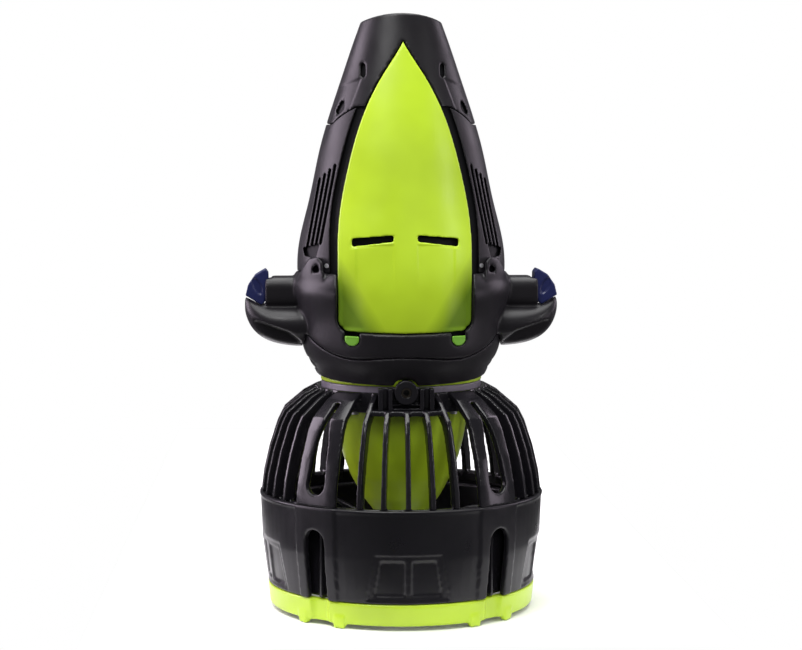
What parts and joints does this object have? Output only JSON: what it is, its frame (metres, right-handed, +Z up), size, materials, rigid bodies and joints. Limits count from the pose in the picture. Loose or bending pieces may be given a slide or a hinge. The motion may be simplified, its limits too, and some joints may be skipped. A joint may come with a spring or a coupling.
{
  "type": "underwater scooter",
  "caption": "Handheld underwater scooter: tapered battery hull with a hood, side grips with triggers, caged motor pod and ducted propeller",
  "frame": {"origin": "centre of the plane that the outlet ring's feet stand on, on the propeller axis", "axes": "+Z up along the propeller axis to the nose, -Y towards the hood side, +X to the right seen from the hood side"},
  "size_m": [0.327, 0.3, 0.618],
  "materials": {
    "black_shell": "fine moulded grain, satin",
    "hull_body": "matte",
    "lime_shell": "smooth satin gloss",
    "grey_plastic": "satin grey",
    "guard_black": "semi gloss, moulded",
    "propeller_black": "satin, glass filled",
    "navy_plastic": "satin navy",
    "steel": "bright stainless",
    "screw_steel": "stainless",
    "brass": "turned",
    "aluminium": "machined",
    "iron": "laminated",
    "copper": "enamelled copper wire",
    "rubber": "matte",
    "battery_case": "matte",
    "webbing": "woven nylon",
    "inner_plastic": "matte",
    "board_green": "solder mask"
  },
  "bodies": {
    "hull": {"back_cover": "black_shell", "battery_cradle": "inner_plastic", "battery_pack": "battery_case", "battery_plug": "battery_case", "battery_strap": "webbing", "board_posts": "screw_steel", "cable_gland": "inner_plastic", "cage_screws": "screw_steel", "camera_insert": "brass", "camera_mount": "guard_black", "cheek_screws": "screw_steel", "chin_shell": "black_shell", "control_board": "board_green", "duct_liner": "guard_black", "duct_shroud": "guard_black", "guard_cage": "guard_black", "hood_panel": "lime_shell", "hull_bulkhead": "inner_plastic", "hull_seal": "rubber", "left_cheek_cover": "black_shell", "left_trigger_pin": "steel", "left_trigger_spring": "steel", "lower_bearing": "steel", "main_hull": "hull_body", "motor_can": "aluminium", "motor_driver": "aluminium", "motor_lead": "rubber", "motor_plate": "aluminium", "motor_pod": "lime_shell", "neck_collar": "grey_plastic", "neck_ring": "lime_shell", "nose_cap": "black_shell", "outlet_ring": "lime_shell", "rear_saddle": "black_shell", "right_cheek_cover": "black_shell", "right_trigger_pin": "steel", "right_trigger_spring": "steel", "saddle_screws": "screw_steel", "shaft_seal": "rubber", "shoulder_shell": "black_shell", "stator_coils": "copper", "trigger_sensors": "inner_plastic", "upper_bearing": "steel"},
    "drive_line": {"propeller": "propeller_black", "propeller_shaft": "steel", "propeller_nut": "steel", "propeller_washer": "steel", "drive_pin": "steel", "motor_rotor": "iron"},
    "left_trigger_lever": {"left_trigger": "navy_plastic", "left_trigger_magnet": "steel"},
    "right_trigger_lever": {"right_trigger": "navy_plastic", "right_trigger_magnet": "steel"},
    "left_tab": {"left_hood_tab": "lime_shell"},
    "right_tab": {"right_hood_tab": "lime_shell"}
  },
  "joints": [
    {"name": "propeller_spin", "type": "hinge", "parent": "hull", "child": "drive_line", "pos_m": [0, 0, 0.07], "axis": [0, 0, 1], "continuous": true},
    {"name": "left_trigger_squeeze", "type": "hinge", "parent": "hull", "child": "left_trigger_lever", "pos_m": [-0.13, -0.006, 0.327], "axis": [0, 1, 0], "range_deg": [0, 7], "stiffness_Nm_per_rad": 1.2, "springref_deg": -3.44},
    {"name": "right_trigger_squeeze", "type": "hinge", "parent": "hull", "child": "right_trigger_lever", "pos_m": [0.13, -0.006, 0.327], "axis": [0, -1, 0], "range_deg": [0, 7], "stiffness_Nm_per_rad": 1.2, "springref_deg": -3.44},
    {"name": "left_tab_press", "type": "slide", "parent": "hull", "child": "left_tab", "axis": [0, 1, 0], "range_m": [0, 0.0018], "stiffness_N_per_m": 1500, "springref_m": -0.0006},
    {"name": "right_tab_press", "type": "slide", "parent": "hull", "child": "right_tab", "axis": [0, 1, 0], "range_m": [0, 0.0018], "stiffness_N_per_m": 1500, "springref_m": -0.0006}
  ]
}
